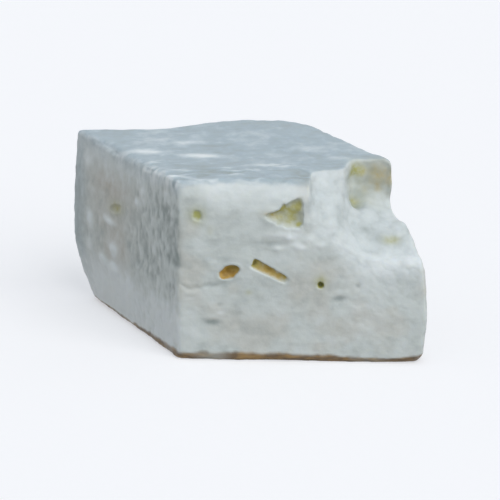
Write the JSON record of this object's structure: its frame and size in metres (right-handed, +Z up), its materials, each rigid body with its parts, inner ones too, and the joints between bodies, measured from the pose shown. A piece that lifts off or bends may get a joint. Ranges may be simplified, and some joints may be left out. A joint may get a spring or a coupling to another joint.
{
  "type": "block of white brined cheese",
  "caption": "Hand-cut slanted block of soft white brined cheese with small irregular openings and one upper corner torn away.",
  "frame": {"origin": "middle of the bounding box's base, on the flat face that the block rests on", "axes": "+X to the right along the front cut face, +Y from the front face to the back, +Z up"},
  "size_m": [0.087, 0.055, 0.0459],
  "materials": {
    "white_curd": "moist matt white curd, ochre inside the openings"
  },
  "bodies": {
    "root": {"cheese_block": "white_curd"}
  },
  "joints": []
}
